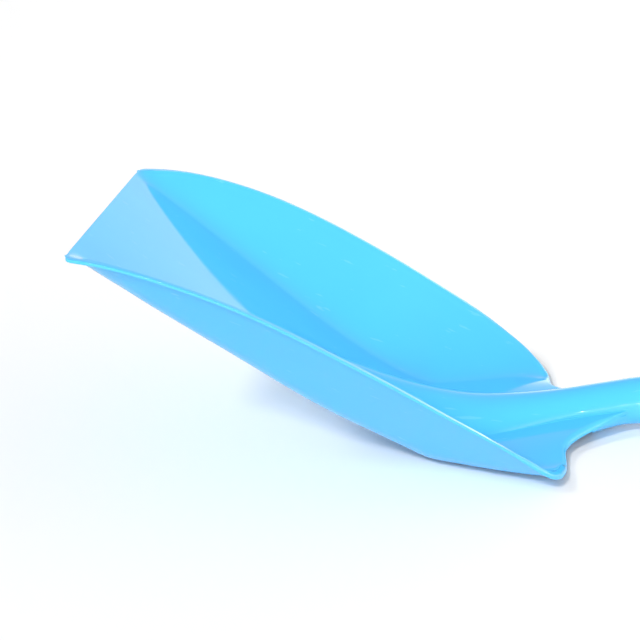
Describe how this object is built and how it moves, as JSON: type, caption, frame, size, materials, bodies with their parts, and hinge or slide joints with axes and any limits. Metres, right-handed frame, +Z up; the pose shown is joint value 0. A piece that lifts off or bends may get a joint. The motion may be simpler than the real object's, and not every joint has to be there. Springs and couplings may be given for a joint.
{
  "type": "feed scoop",
  "caption": "Wide moulded feed scoop with raised sides, an open front lip, a ridge that runs into a round tube handle, and a D-shaped grip; stands on its heel with the lip raised.",
  "frame": {"origin": "on the table, under the middle of the scoop's overall length", "axes": "+X from the lip towards the grip, +Y to the side, +Z up; the scoop stands on its heel and is symmetric about the XZ plane"},
  "size_m": [0.5895, 0.2562, 0.1472],
  "materials": {
    "blue_plastic": "glossy sky-blue moulded polypropylene",
    "core_alloy": "drawn tube",
    "seal_rubber": "matt dark blue-grey",
    "rivet_steel": "satin stainless"
  },
  "bodies": {
    "root": {"blade": "blue_plastic", "handle_tube": "blue_plastic", "d_grip": "blue_plastic", "handle_core": "core_alloy", "core_plug": "seal_rubber", "blade_joint_ring": "seal_rubber", "grip_joint_ring": "seal_rubber", "socket_rivet_1": "rivet_steel", "socket_rivet_2": "rivet_steel", "grip_rivet_1": "rivet_steel", "grip_rivet_2": "rivet_steel"}
  },
  "joints": []
}
